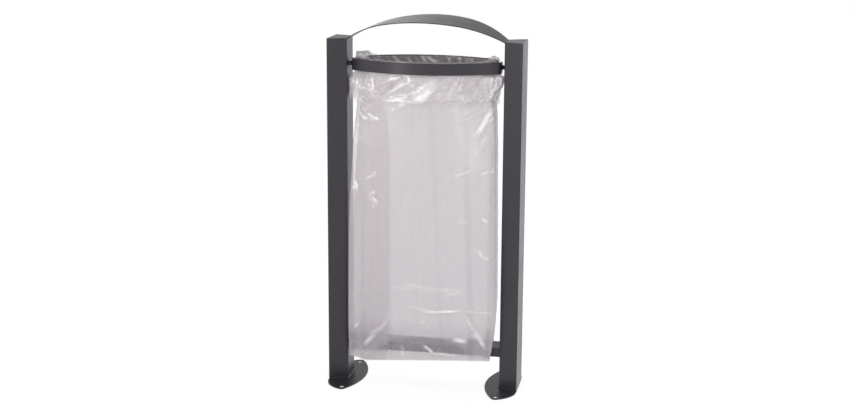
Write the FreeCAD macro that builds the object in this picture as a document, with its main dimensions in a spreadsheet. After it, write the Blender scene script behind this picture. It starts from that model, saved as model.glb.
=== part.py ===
"""Free-standing waste bag holder: two folded steel posts on leaf-shaped ground plates,
a curved roof over the mouth, a lens-shaped ring that a clear bag is folded over,
and a curved strap that swings up about two bolts to free the bag.

Millimetres. X runs from post to post, Y runs from front (-) to back (+), Z is up.
The origin is on the ground, midway between the posts.
"""
import FreeCAD, Part
import math
import os

import Sketcher
from FreeCAD import Placement, Rotation, Vector


DRIVING_SIZES = [
    ("clear_width", 500, "between the inner faces of the posts"),
    ("post_width", 60, "post, from its inner to its outer face"),
    ("post_inner_depth", 82, "post, across its inner face"),
    ("post_outer_depth", 136, "post, across its outer face"),
    ("post_wall", 2, "folded sheet of the posts"),
    ("post_bend", 3, "outside radius of the post's folds"),
    ("post_length", 1115, "post tube, from ground plate to cap"),
    ("cap_thickness", 3, "plate that closes the top of a post"),
    ("plate_thickness", 4, "ground plate"),
    ("plate_tip_span", 305, "ground plate, from tip to tip before rounding"),
    ("plate_reach", 110, "ground plate, from its straight edge to its inner edge"),
    ("plate_tip_inset", 65, "from the straight edge to a tip"),
    ("plate_outer_radius", 88, "curve from the straight edge to a tip"),
    ("plate_tip_radius", 13, "rounding of a tip"),
    ("anchor_from_tip", 22.5, "anchor hole, from the unrounded tip along the plate"),
    ("anchor_outward", 6, "anchor hole, from the tip towards the straight edge"),
    ("anchor_hole", 18, "anchor hole diameter"),
    ("crossbar_depth", 80, "lower crossbar, front to back"),
    ("crossbar_height", 30, "lower crossbar, top to bottom"),
    ("crossbar_wall", 2, "wall of the lower crossbar"),
    ("crossbar_corner", 4, "outside corner radius of the lower crossbar"),
    ("crossbar_top", 136, "top of the lower crossbar above the ground"),
    ("roof_depth", 290, "roof sheet, front to back at its middle"),
    ("roof_end_depth", 82, "roof sheet, front to back at the posts"),
    ("roof_sheet", 3, "roof sheet thickness"),
    ("roof_crown_radius", 640, "radius of the middle of the roof"),
    ("roof_side_radius", 368, "radius of the sides of the roof"),
    ("roof_crown_width", 226, "width of the middle curve of the roof"),
    ("pivot_height", 1039, "strap pivot above the ground"),
    ("strap_height", 36, "clamp strap, top to bottom"),
    ("strap_bar", 4, "clamp strap, bar thickness"),
    ("strap_depth", 113, "from the pivot axis to the front of the strap"),
    ("strap_corner", 27, "from the pivot axis to the strap's bend"),
    ("strap_clearance", 12, "from a strap tab to the post beside it"),
    ("bar_bend", 8, "inside bend radius of the strap and ring"),
    ("ring_height", 38, "bag ring, top to bottom"),
    ("ring_bar", 4, "bag ring, bar thickness"),
    ("ring_rise", 21, "ring's top edge above the pivot axis"),
    ("ring_gap", 7, "from a ring tab to the strap tab beside it"),
    ("ring_front_gap", 3.6, "from the ring to the strap at the middle"),
    ("ring_corner", 19, "from the pivot axis to the ring's bend"),
    ("bolt_diameter", 8, "pivot bolt shank"),
    ("bolt_length", 40, "pivot bolt under its head"),
    ("bolt_head", 14, "pivot bolt head diameter"),
    ("bolt_head_height", 4.4, "pivot bolt head height"),
    ("bolt_rim_height", 1.4, "straight rim of the pivot bolt head"),
    ("bolt_head_top", 8, "flat top of the pivot bolt head, across"),
    ("bolt_bevel", 0.8, "bevel at the end of the pivot bolt"),
    ("bolt_key", 5, "hexagon socket across flats"),
    ("bolt_key_depth", 2.6, "hexagon socket depth"),
    ("washer_diameter", 16, "washer under the bolt head"),
    ("washer_thickness", 1.6, "washer under the bolt head"),
    ("bush_diameter", 16, "bush between ring and strap"),
    ("spacer_diameter", 14, "spacer between strap and post"),
    ("insert_flange", 15, "threaded insert, flange diameter"),
    ("insert_flange_thickness", 1, "threaded insert, flange thickness"),
    ("insert_body", 11, "threaded insert, body diameter"),
    ("insert_length", 15, "threaded insert, body length inside the post"),
    ("insert_bulge", 13.6, "threaded insert, set collar diameter"),
    ("insert_bulge_length", 4, "threaded insert, set collar length"),
    ("hinge_fit", 0.05, "radial play of the strap on its bolts"),
    ("hole_fit", 0.25, "radial play of the other parts on the bolts"),
    ("side_play", 0.3, "gap on each side of a strap tab"),
    ("film_wall", 0.7, "bag wall, thicker than real film"),
    ("film_gap", 0.3, "from the bag to what it hangs on"),
    ("cuff_drop", 140, "bag folded down outside the ring"),
    ("cuff_slot", 28, "half width of the gap in the cuff at a pivot"),
    ("cuff_flare", 4, "how far the cuff's hem stands out from the ring"),
    ("cuff_ease", 0.05, "extra room for the cuff's flat panels round the ring"),
    ("neck_drop", 58, "from the ring's top edge to where the bag leaves its shape"),
    ("pleat_depth", 3.5, "depth of the standing folds in the bag's walls"),
    ("shoulder_height", 900, "first level of the bag below the ring, above the ground"),
    ("shoulder_width", 458, "bag width there"),
    ("shoulder_front", 100, "middle of the front wall there, in front of the pivot axis"),
    ("shoulder_front_corner", 20, "ends of the front wall there"),
    ("shoulder_back", 80, "middle of the back wall there, behind the pivot axis"),
    ("shoulder_back_corner", 16, "ends of the back wall there"),
    ("shoulder_gusset", 50, "side gusset there, folded in from the side"),
    ("chest_height", 760, "second level of the bag"),
    ("chest_width", 476, "bag width there"),
    ("chest_front", 100, "middle of the front wall there"),
    ("chest_front_corner", 45, "ends of the front wall there"),
    ("chest_back", 57, "middle of the back wall there"),
    ("chest_back_corner", 11, "ends of the back wall there"),
    ("chest_gusset", 82, "side gusset there"),
    ("belly_height", 600, "widest level of the bag"),
    ("belly_width", 484, "bag width there"),
    ("belly_front", 97, "middle of the front wall there"),
    ("belly_front_corner", 53, "ends of the front wall there"),
    ("belly_back", 31, "middle of the back wall there"),
    ("belly_back_corner", 6, "ends of the back wall there"),
    ("belly_gusset", 90, "side gusset there"),
    ("knee_height", 300, "level where the bag's side gussets begin to close"),
    ("knee_width", 482, "bag width there"),
    ("knee_front", 92, "middle of the front wall there"),
    ("knee_front_corner", 57, "ends of the front wall there"),
    ("knee_back", -18, "middle of the back wall there"),
    ("knee_back_corner", -23, "ends of the back wall there"),
    ("knee_gusset", 76, "side gusset there"),
    ("tail_height", 152, "level where the bag passes the crossbar"),
    ("tail_width", 466, "bag width there"),
    ("tail_depth", 28, "bag there, front to back"),
    ("tail_corner_depth", 17, "bag there at its ends, front to back"),
    ("tail_gusset", 12, "side gusset there"),
    ("seal_height", 80, "bottom seal of the bag above the ground"),
    ("seal_width", 424, "bottom seal of the bag"),
    ("seal_depth", 9, "bag at its seal, front to back"),
    ("seal_corner_depth", 5, "bag at the ends of its seal, front to back"),
    ("seal_gusset", 3, "side gusset there"),
    ("bag_clearance", 3, "from the tail of the bag to the crossbar"),
]

FULL_TURN = 360
HALF_TURN = 180
SAME_PLACE = 1e-3
SAME_DIRECTION = 1e-6


class Size:
    """A length that keeps the spreadsheet expression it was worked out from."""

    def __init__(self, number, text):
        self.number = float(number)
        self.text = text

    def __add__(self, other):
        other = as_size(other)
        return Size(self.number + other.number, "(%s + %s)" % (self.text, other.text))

    def __sub__(self, other):
        other = as_size(other)
        return Size(self.number - other.number, "(%s - %s)" % (self.text, other.text))

    def __mul__(self, other):
        other = as_size(other)
        return Size(self.number * other.number, "(%s * %s)" % (self.text, other.text))

    def __truediv__(self, other):
        other = as_size(other)
        return Size(self.number / other.number, "(%s / %s)" % (self.text, other.text))

    def __neg__(self):
        return Size(-self.number, "(0 - %s)" % self.text)

    def squared(self):
        return Size(self.number ** 2, "(%s)^2" % self.text)


def as_size(value):
    """A plain number as a size; a size stays as it is."""
    if isinstance(value, Size):
        return value
    return Size(value, "%.10g" % value)


def root(size):
    """Square root of a size."""
    return Size(math.sqrt(size.number), "sqrt(%s)" % size.text)


def arc_radius(half_chord, rise):
    """Radius of the arc that rises this much over half its chord."""
    return (half_chord.squared() + rise.squared()) / (rise * 2)


def arc_drop(radius, offset):
    """How far an arc's centre lies behind the chord at this offset."""
    return root(radius.squared() - as_size(offset).squared())


def make_sheet(doc):
    """The spreadsheet of driving sizes, and each one as a Size under its name."""
    sheet = doc.addObject("Spreadsheet::Sheet", "Sizes")
    sizes = {}
    for row, (alias, number, meaning) in enumerate(DRIVING_SIZES, start=1):
        cell = "B%d" % row
        sheet.set("A%d" % row, alias)
        sheet.set(cell, "%.10g" % number)
        sheet.setAlias(cell, alias)
        sheet.set("C%d" % row, meaning)
        sizes[alias] = Size(number, "Sizes." + alias)
    doc.recompute()
    return sizes


class Profile:
    """A sketch on one of a body's own planes, its corners bound to sizes."""

    def __init__(self, body, name, plane, lift=None):
        self.sketch = body.newObject("Sketcher::SketchObject", name)
        roles = {feature.Role: feature for feature in body.Origin.OriginFeatures}
        self.sketch.AttachmentSupport = [(roles[plane], "")]
        self.sketch.MapMode = "FlatFace"
        if lift is not None:
            self.sketch.setExpression("AttachmentOffset.Base.z", as_size(lift).text)
        self.bound = 0

    def bind(self, constraint, size):
        """Adds a dimension and ties it to its size."""
        index = self.sketch.addConstraint(constraint)
        name = "dim%d" % self.bound
        self.bound += 1
        self.sketch.renameConstraint(index, name)
        self.sketch.setExpression("Constraints." + name, size.text)

    def pin(self, piece, end, point):
        """Holds one end of a piece at a point measured from the origin."""
        for kind, axis, size in (("DistanceX", -2, point[0]), ("DistanceY", -1, point[1])):
            size = as_size(size)
            if size.number == 0:
                self.sketch.addConstraint(Sketcher.Constraint("PointOnObject", piece, end, axis))
            else:
                self.bind(Sketcher.Constraint(kind, -1, 1, piece, end, size.number), size)

    def loop(self, corners, radii=None):
        """A closed outline. A radius bends an edge outwards, a negative one inwards."""
        count = len(corners)
        radii = radii or [None] * count
        ends = []
        for index, corner in enumerate(corners):
            start = point_of(corner)
            finish = point_of(corners[(index + 1) % count])
            if radii[index] is None:
                piece = self.sketch.addGeometry(Part.LineSegment(start, finish), False)
                ends.append((piece, 1, 2))
            else:
                ends.append(self.arc(start, finish, as_size(radii[index])))
        for index, (piece, first, last) in enumerate(ends):
            after = ends[(index + 1) % count]
            joint = Sketcher.Constraint("Coincident", piece, last, after[0], after[1])
            self.sketch.addConstraint(joint)
            self.pin(piece, first, corners[index])

    def arc(self, start, finish, radius):
        """One bent edge of an outline; returns the piece and its two end numbers."""
        bend = abs(radius.number)
        chord = finish - start
        half = chord.Length / 2
        across = Vector(-chord.y, chord.x, 0).normalize()
        side = 1 if radius.number > 0 else -1
        centre = start + chord * 0.5 + across * side * math.sqrt(bend * bend - half * half)
        first = math.atan2(start.y - centre.y, start.x - centre.x)
        last = math.atan2(finish.y - centre.y, finish.x - centre.x)
        circle = Part.Circle(centre, Vector(0, 0, 1), bend)
        if side > 0:
            piece = self.sketch.addGeometry(Part.ArcOfCircle(circle, first, last), False)
            ends = (piece, 1, 2)
            size = radius
        else:
            piece = self.sketch.addGeometry(Part.ArcOfCircle(circle, last, first), False)
            ends = (piece, 2, 1)
            size = -radius
        self.bind(Sketcher.Constraint("Radius", piece, bend), size)
        return ends

    def circle(self, centre, diameter):
        """A round outline."""
        shape = Part.Circle(point_of(centre), Vector(0, 0, 1), as_size(diameter).number / 2)
        piece = self.sketch.addGeometry(shape, False)
        self.pin(piece, 3, centre)
        self.bind(Sketcher.Constraint("Diameter", piece, as_size(diameter).number), as_size(diameter))


def point_of(corner):
    """A corner of sizes as a plain vector."""
    return Vector(as_size(corner[0]).number, as_size(corner[1]).number, 0)


def box_corners(left, right, low, high):
    """The four corners of an upright rectangle, anticlockwise."""
    return [(left, low), (right, low), (right, high), (left, high)]


def new_body(doc, label):
    body = doc.addObject("PartDesign::Body", label)
    body.Label = label
    return body


def place(body, x=0, z=0, turned=False):
    """Puts a sub-part at its place; a turned one faces the other post."""
    body.Placement = Placement(Vector(0, 0, 0), Rotation(Vector(0, 0, 1), HALF_TURN if turned else 0))
    reach = as_size(x)
    body.setExpression("Placement.Base.x", (-reach).text if turned else reach.text)
    body.setExpression("Placement.Base.z", as_size(z).text)


def pad(body, name, profile, length, midplane=False):
    feature = body.newObject("PartDesign::Pad", name)
    feature.Profile = profile.sketch
    feature.setExpression("Length", as_size(length).text)
    feature.Midplane = midplane
    return feature


def pocket(body, name, profile, length=None, reverse=False):
    """A cut of a set length, or right through both ways."""
    feature = body.newObject("PartDesign::Pocket", name)
    feature.Profile = profile.sketch
    feature.Reversed = reverse
    if length is None:
        feature.Type = "ThroughAll"
        feature.Midplane = True
    else:
        feature.setExpression("Length", as_size(length).text)
    return feature


def spin(body, name, profile):
    """A full turn of a profile about the sketch's horizontal axis."""
    feature = body.newObject("PartDesign::Revolution", name)
    feature.Profile = profile.sketch
    feature.ReferenceAxis = (profile.sketch, ["H_Axis"])
    feature.Angle = FULL_TURN
    return feature


def round_edges(doc, body, name, base, radius, along, wanted=None):
    """Rounds the straight edges that run along a direction and pass a test."""
    doc.recompute()
    names = []
    for number, edge in enumerate(base.Shape.Edges, start=1):
        if not isinstance(edge.Curve, Part.Line):
            continue
        if abs(abs(edge.Curve.Direction.dot(along)) - 1) > SAME_DIRECTION:
            continue
        if wanted is None or wanted(edge.CenterOfMass):
            names.append("Edge%d" % number)
    feature = body.newObject("PartDesign::Fillet", name)
    feature.Base = (base, names)
    feature.setExpression("Radius", as_size(radius).text)
    return feature


UP = Vector(0, 0, 1)
ACROSS = Vector(1, 0, 0)


def post_section(size, inset=0):
    """Corners of the post's four-sided section, wider at its outer face."""
    inset = as_size(inset)
    half_in = size["post_inner_depth"] / 2
    half_out = size["post_outer_depth"] / 2
    flare = half_out - half_in
    slope = flare / size["post_width"]
    slant = root(slope * slope + 1)
    near = inset
    far = size["post_width"] - inset
    half_near = half_in + slope * near - slant * inset
    half_far = half_in + slope * far - slant * inset
    return [(near, -half_near), (far, -half_far), (far, half_far), (near, half_near)]


def make_post(doc, size, label, turned):
    """Folded tube, open at both ends, with the insert's hole in its inner face."""
    body = new_body(doc, label)
    outside = Profile(body, "Section", "XY_Plane")
    outside.loop(post_section(size))
    tube = pad(body, "Tube", outside, size["post_length"])
    round_edges(doc, body, "Folds", tube, size["post_bend"], UP)
    inside = Profile(body, "Bore", "XY_Plane")
    inside.loop(post_section(size, size["post_wall"]))
    hollow = pocket(body, "Hollow", inside, size["post_length"], reverse=True)
    wall = size["post_wall"].number
    bore_corners = [wall, size["post_width"].number - wall]

    def in_bore(point):
        return min(abs(point.x - corner) for corner in bore_corners) < SAME_PLACE

    round_edges(doc, body, "BoreFolds", hollow, size["post_bend"] - size["post_wall"], UP, in_bore)
    drill = Profile(body, "InsertHole", "YZ_Plane")
    drill.circle((0, size["pivot_height"] - size["plate_thickness"]),
                 size["insert_body"] + size["hinge_fit"] * 2)
    pocket(body, "InsertDrill", drill, size["post_wall"] * 2, reverse=True)
    place(body, size["clear_width"] / 2, size["plate_thickness"], turned)
    return body


def make_cap(doc, size, label, turned):
    """Plate welded over the top of a post, with the post's own outline."""
    body = new_body(doc, label)
    outline = Profile(body, "Outline", "XY_Plane")
    outline.loop(post_section(size))
    plate = pad(body, "Plate", outline, size["cap_thickness"])
    round_edges(doc, body, "Corners", plate, size["post_bend"], UP)
    place(body, size["clear_width"] / 2, size["plate_thickness"] + size["post_length"], turned)
    return body


def make_ground_plate(doc, size, label, turned):
    """Leaf-shaped plate: a straight outer edge, two curves to the tips, one inner curve."""
    body = new_body(doc, label)
    edge = size["post_width"]
    tip_x = edge - size["plate_tip_inset"]
    tip_y = size["plate_tip_span"] / 2
    inner = edge - size["plate_reach"]
    curve = size["plate_outer_radius"]
    offset = curve - size["plate_tip_inset"]
    straight = tip_y - root(curve * curve - offset * offset)
    hollow_radius = arc_radius(tip_y, tip_x - inner)
    outline = Profile(body, "Outline", "XY_Plane")
    outline.loop([(edge, -straight), (edge, straight), (tip_x, tip_y), (tip_x, -tip_y)],
                 [None, curve, hollow_radius, curve])
    leaf = pad(body, "Leaf", outline, size["plate_thickness"])
    tip_place = tip_y.number
    round_edges(doc, body, "Tips", leaf, size["plate_tip_radius"], UP,
                lambda point: abs(abs(point.y) - tip_place) < SAME_PLACE)
    holes = Profile(body, "AnchorHoles", "XY_Plane")
    for end in (-1, 1):
        holes.circle((tip_x + size["anchor_outward"], (tip_y - size["anchor_from_tip"]) * end),
                     size["anchor_hole"])
    pocket(body, "AnchorDrill", holes)
    place(body, size["clear_width"] / 2, 0, turned)
    return body


def roof_line(size, drop):
    """Corners and radii of one face of the roof: side curve, crown, side curve.

    The drop is how far the face lies inside the top face.
    """
    half = size["clear_width"] / 2
    crown = size["roof_crown_radius"]
    side = size["roof_side_radius"]
    knee = size["roof_crown_width"] / 2
    lean_x = knee / crown
    lean_z = root(as_size(1) - lean_x * lean_x)
    side_x = (crown - side) * lean_x
    side_z = (crown - side) * lean_z
    end_offset = half - side_x
    foot = side_z + root(side * side - end_offset * end_offset)
    bent_side = side - drop
    bent_crown = crown - drop
    end_z = side_z + root(bent_side * bent_side - end_offset * end_offset) - foot
    knee_x = bent_crown * lean_x
    knee_z = bent_crown * lean_z - foot
    corners = [(half, end_z), (knee_x, knee_z), (-knee_x, knee_z), (-half, end_z)]
    return corners, bent_side, bent_crown


def make_roof(doc, size):
    """Bent sheet between the posts, a lens in plan and a three-centred arch in front view."""
    body = new_body(doc, "roof_arch")
    upper, upper_side, upper_crown = roof_line(size, as_size(0))
    lower, lower_side, lower_crown = roof_line(size, size["roof_sheet"])
    profile = Profile(body, "Arch", "XZ_Plane")
    profile.loop(upper + lower[::-1],
                 [upper_side, upper_crown, upper_side, None,
                  -lower_side, -lower_crown, -lower_side, None])
    sheet = pad(body, "Sheet", profile, size["roof_depth"] * 2, midplane=True)
    half = size["clear_width"] / 2
    end = size["roof_end_depth"] / 2
    bow = arc_radius(half, size["roof_depth"] / 2 - end)
    trim = Profile(body, "Plan", "XY_Plane")
    trim.loop([(half, -end), (half, end), (-half, end), (-half, -end)], [None, bow, None, bow])
    beyond = size["clear_width"]
    trim.loop(box_corners(-beyond, beyond, size["roof_depth"] * -2, size["roof_depth"] * 2))
    pocket(body, "PlanTrim", trim)
    place(body, 0, size["plate_thickness"] + size["post_length"] + size["cap_thickness"])
    return body


def make_crossbar(doc, size):
    """Rectangular tube between the posts, near the ground."""
    body = new_body(doc, "lower_crossbar")
    wall = size["crossbar_wall"]
    half = size["crossbar_depth"] / 2
    height = size["crossbar_height"]
    outside = Profile(body, "Section", "YZ_Plane")
    outside.loop(box_corners(-half, half, -height, 0))
    tube = pad(body, "Tube", outside, size["clear_width"], midplane=True)
    round_edges(doc, body, "Corners", tube, size["crossbar_corner"], ACROSS)
    inside = Profile(body, "Bore", "YZ_Plane")
    inside.loop(box_corners(wall - half, half - wall, wall - height, -wall))
    hollow = pocket(body, "Hollow", inside)
    reach = half.number - wall.number

    def in_bore(point):
        return abs(abs(point.y) - reach) < SAME_PLACE

    round_edges(doc, body, "BoreCorners", hollow, size["crossbar_corner"] - wall, ACROSS, in_bore)
    place(body, 0, size["crossbar_top"])
    return body


def strap_tab(size):
    """Distance of the strap tab's outer face from the middle plane."""
    return size["clear_width"] / 2 - size["strap_clearance"]


def ring_tab(size):
    """Distance of the ring tab's outer face from the middle plane."""
    return strap_tab(size) - size["strap_bar"] - size["ring_gap"]


def ring_curve(size):
    """Radius of the ring's outer face and how far behind the axis its centre lies."""
    crown = size["strap_depth"] - size["strap_bar"] - size["ring_front_gap"]
    radius = arc_radius(ring_tab(size), crown - size["ring_corner"])
    return radius, radius - crown


def lens(size, side, offset):
    """Corners and radii of a closed lens beside the ring's outer face.

    The side is where its straight ends lie, the offset is how far its curves
    lie outside the ring's outer face.
    """
    radius, centre = ring_curve(size)
    bent = radius + offset
    corner = arc_drop(bent, side) - centre
    corners = [(side, -corner), (side, corner), (-side, corner), (-side, -corner)]
    return corners, [None, bent, None, bent]


def pivot_holes(body, size, diameter):
    """One drilling along X through both tabs."""
    drill = Profile(body, "PivotHoles", "YZ_Plane")
    drill.circle((0, 0), diameter)
    return pocket(body, "PivotDrill", drill)


def make_ring(doc, size):
    """Flat bar bent to a lens with two short straight tabs at the pivots."""
    body = new_body(doc, "bag_ring")
    low = size["ring_rise"] - size["ring_height"]
    outside = Profile(body, "Outline", "XY_Plane", low)
    outside.loop(*lens(size, ring_tab(size), as_size(0)))
    blank = pad(body, "Blank", outside, size["ring_height"])
    round_edges(doc, body, "OuterBends", blank, size["bar_bend"] + size["ring_bar"], UP)
    inside = Profile(body, "Inline", "XY_Plane", low)
    inside.loop(*lens(size, ring_tab(size) - size["ring_bar"], -size["ring_bar"]))
    hoop = pocket(body, "Hoop", inside, size["ring_height"], reverse=True)
    inner_face = ring_tab(size).number - size["ring_bar"].number
    round_edges(doc, body, "InnerBends", hoop, size["bar_bend"], UP,
                lambda point: abs(abs(point.x) - inner_face) < SAME_PLACE)
    pivot_holes(body, size, size["bolt_diameter"] + size["hole_fit"] * 2)
    place(body, 0, size["pivot_height"])
    return body


def strap_loop(size, inset):
    """One face of the strap, from tab to tab, closed behind the pivots."""
    tab = strap_tab(size) - inset
    radius = arc_radius(strap_tab(size), size["strap_depth"] - size["strap_corner"])
    centre = radius - size["strap_depth"]
    bent = radius - inset
    corner = arc_drop(bent, tab) - centre
    tail = size["strap_height"] / 2
    corners = [(tab, -corner), (tab, tail), (-tab, tail), (-tab, -corner)]
    return corners, [None, None, None, bent]


def make_strap(doc, size):
    """Flat bar bent to the ring's front curve, with rounded tabs on the pivot bolts."""
    body = new_body(doc, "clamp_strap")
    half = size["strap_height"] / 2
    outside = Profile(body, "Outline", "XY_Plane", -half)
    outside.loop(*strap_loop(size, as_size(0)))
    blank = pad(body, "Blank", outside, size["strap_height"])
    bend_limit = -size["strap_corner"].number / 2
    round_edges(doc, body, "OuterBends", blank, size["bar_bend"] + size["strap_bar"], UP,
                lambda point: point.y < bend_limit)
    inside = Profile(body, "Inline", "XY_Plane", -half)
    corners, radii = strap_loop(size, size["strap_bar"])
    behind = size["strap_height"]
    corners = [corners[0], (corners[1][0], behind), (corners[2][0], behind), corners[3]]
    inside.loop(corners, radii)
    hoop = pocket(body, "Hoop", inside, size["strap_height"], reverse=True)
    inner_face = strap_tab(size).number - size["strap_bar"].number
    round_edges(doc, body, "InnerBends", hoop, size["bar_bend"], UP,
                lambda point: abs(abs(point.x) - inner_face) < SAME_PLACE and point.y < bend_limit)
    ends = Profile(body, "TabEnds", "YZ_Plane")
    ends.loop([(0, -half), (0, -half * 2), (half * 2, -half * 2), (half * 2, half * 2),
               (0, half * 2), (0, half), (half, 0)],
              [None, None, None, None, None, -half, -half])
    pocket(body, "TabRounding", ends)
    pivot_holes(body, size, size["bolt_diameter"] + size["hinge_fit"] * 2)
    place(body, 0, size["pivot_height"])
    return body


def turned_part(doc, size, label, corners, x, turned):
    """A round part about the pivot axis, from the outline of one half of it."""
    body = new_body(doc, label)
    half = Profile(body, "Half", "XZ_Plane")
    half.loop(corners)
    spin(body, "Turn", half)
    place(body, x, size["pivot_height"], turned)
    return body


def sleeve(length, outer, bore):
    """Outline of one half of a plain round sleeve."""
    return box_corners(0, length, bore / 2, outer / 2)


def make_pivot(doc, size, side, turned):
    """The fasteners of one pivot, from the bolt head out to the post."""
    ring_inner = ring_tab(size) - size["ring_bar"]
    bearing = ring_inner - size["washer_thickness"]
    loose_bore = size["bolt_diameter"] + size["hole_fit"] * 2
    make_bolt(doc, size, side + "_pivot_bolt", bearing, turned)
    turned_part(doc, size, side + "_bolt_washer",
                sleeve(size["washer_thickness"], size["washer_diameter"], loose_bore),
                bearing, turned)
    turned_part(doc, size, side + "_ring_bush",
                sleeve(size["ring_gap"] - size["side_play"], size["bush_diameter"], loose_bore),
                ring_tab(size), turned)
    spacer_length = size["strap_clearance"] - size["side_play"] - size["insert_flange_thickness"]
    turned_part(doc, size, side + "_pivot_spacer",
                sleeve(spacer_length, size["spacer_diameter"], loose_bore),
                strap_tab(size) + size["side_play"], turned)
    make_insert(doc, size, side + "_threaded_insert", turned)


def make_bolt(doc, size, label, x, turned):
    """Button-head bolt: its head lies inside the ring, its shank carries the strap."""
    body = new_body(doc, label)
    shank = size["bolt_diameter"] / 2
    head = size["bolt_head"] / 2
    height = size["bolt_head_height"]
    rim = size["bolt_rim_height"]
    top = size["bolt_head_top"] / 2
    tip = size["bolt_length"]
    bevel = size["bolt_bevel"]
    half = Profile(body, "Half", "XZ_Plane")
    half.loop([(-height, 0), (tip, 0), (tip, shank - bevel), (tip - bevel, shank), (0, shank),
               (0, head), (-rim, head), (-height, top)])
    spin(body, "Turn", half)
    socket = Profile(body, "Socket", "YZ_Plane", -height)
    corner_reach = size["bolt_key"] / math.sqrt(3)
    turns = [math.radians(FULL_TURN / 6 * step) for step in range(6)]
    socket.loop([(corner_reach * math.cos(turn), corner_reach * math.sin(turn)) for turn in turns])
    pocket(body, "SocketCut", socket, size["bolt_key_depth"], reverse=True)
    place(body, x, size["pivot_height"], turned)
    return body


def make_insert(doc, size, label, turned):
    """Threaded insert set in the post's inner face; its collar grips behind the sheet."""
    flange = size["insert_flange_thickness"]
    bore = size["bolt_diameter"] / 2 + size["hinge_fit"]
    body_radius = size["insert_body"] / 2
    wall = size["post_wall"] + size["hinge_fit"]
    bulge_end = wall + size["insert_bulge_length"]
    corners = [(-flange, bore), (size["insert_length"], bore), (size["insert_length"], body_radius),
               (bulge_end, body_radius), (wall, size["insert_bulge"] / 2), (wall, body_radius),
               (0, body_radius), (0, size["insert_flange"] / 2), (-flange, size["insert_flange"] / 2)]
    return turned_part(doc, size, label, corners, size["clear_width"] / 2, turned)


# Where the fold lines of a bag wall lie, as shares of its half width, from one side to the other.
WALL_SHARES = (1, 0.8, 0.55, 0.28, 0, -0.28, -0.55, -0.8, -1)
# Which of those lines stand out as folds (1) and which sink in (-1); the outermost ones do neither.
FOLD_SIDES = (0, -1, 1, -1, 1, -1, 1, -1, 0)
# How many wall thicknesses the bag's inner outline moves in at a corner and at a gusset's tip.
CORNER_INSET = 1.9
GUSSET_INSET = 4.5
# How many flat panels each half of the cuff has; they are narrow enough to clear the round ring.
CUFF_PANELS = 20
CUFF_SHARES = [1 - 2 * panel / CUFF_PANELS for panel in range(CUFF_PANELS + 1)]


def wall_line(half, crown, corner, pleat, inset):
    """The fold lines of one wall of the bag from right to left: bowed, and pleated a little.

    Crown and corner say how far the wall's middle and its ends lie in front of the pivot axis, or behind
    it when they are negative; the inset moves every line into the bag.
    """
    points = []
    for share, fold in zip(WALL_SHARES, FOLD_SIDES):
        at_corner = abs(share) == 1
        x = (half - inset * (CORNER_INSET if at_corner else 1)) * share
        bow = crown + (corner - crown) * (share * share)
        points.append((x, -(bow + pleat * fold - inset)))
    return points


def bag_outline(half, front, back, gusset, inset):
    """One level of the bag, anticlockwise: right gusset, back wall, left gusset, front wall.

    Front and back each give how far the wall's middle and corners lie from the pivot axis and how deep
    its pleats are.
    """
    tip = half - gusset - inset * GUSSET_INSET
    side_middle = (back[1] - front[1]) / 2
    behind = [(x, -y) for x, y in wall_line(half, *back, inset)]
    before = wall_line(half, *front, inset)
    return [(tip, side_middle)] + behind + [(-tip, side_middle)] + before[::-1]


def ring_outline(size, side, offset, shares, pleat=None):
    """A level of the bag that follows the ring, on fold lines at these shares of its half width.

    With a pleat, every other fold line stands out by it and the ones between sink in.
    """
    radius, centre = ring_curve(size)
    bent = radius + offset
    front = []
    for place, share in enumerate(shares):
        away = arc_drop(bent, side * share) - centre
        if pleat is not None and abs(share) < 1:
            away = away + pleat * (1 if place % 2 else -1)
        front.append((side * share, -away))
    behind = [(x, -y) for x, y in front]
    return [(side, 0)] + behind + [(-side, 0)] + front[::-1]


def bag_levels(size, inset):
    """The levels of the hanging bag from the mouth down, each with its outline."""
    ring_inner = ring_tab(size) - size["ring_bar"]
    fastener = size["washer_thickness"] + size["bolt_head_height"]
    neck_side = ring_inner - fastener - size["film_gap"] - inset
    clear_of_ring = -(size["ring_bar"] + size["film_gap"] + inset)
    neck = ring_outline(size, neck_side, clear_of_ring, WALL_SHARES)
    ring_top = size["pivot_height"] + size["ring_rise"]
    levels = [(ring_top + size["film_gap"], neck), (ring_top - size["neck_drop"], neck)]
    for name in ("shoulder", "chest", "belly", "knee"):
        front = (size[name + "_front"], size[name + "_front_corner"], size["pleat_depth"])
        back = (size[name + "_back"], size[name + "_back_corner"], size["pleat_depth"])
        levels.append((size[name + "_height"],
                       bag_outline(size[name + "_width"] / 2, front, back, size[name + "_gusset"], inset)))
    bar_front = size["crossbar_depth"] / 2 + size["bag_clearance"]
    smooth = as_size(0)
    for name in ("tail", "seal"):
        front = (bar_front + size[name + "_depth"], bar_front + size[name + "_corner_depth"], smooth)
        back = (-bar_front, -bar_front, smooth)
        levels.append((size[name + "_height"],
                       bag_outline(size[name + "_width"] / 2, front, back, size[name + "_gusset"], inset)))
    return levels


def bag_loft(body, kind, name, levels):
    """A loft with flat panels between the given levels."""
    profiles = []
    for index, (level, corners) in enumerate(levels):
        profile = Profile(body, "%sLevel%d" % (name, index), "XY_Plane", level)
        profile.loop(corners)
        profiles.append(profile.sketch)
    loft = body.newObject(kind, name)
    loft.Profile = profiles[0]
    loft.Sections = profiles[1:]
    loft.Ruled = True
    return loft


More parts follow.
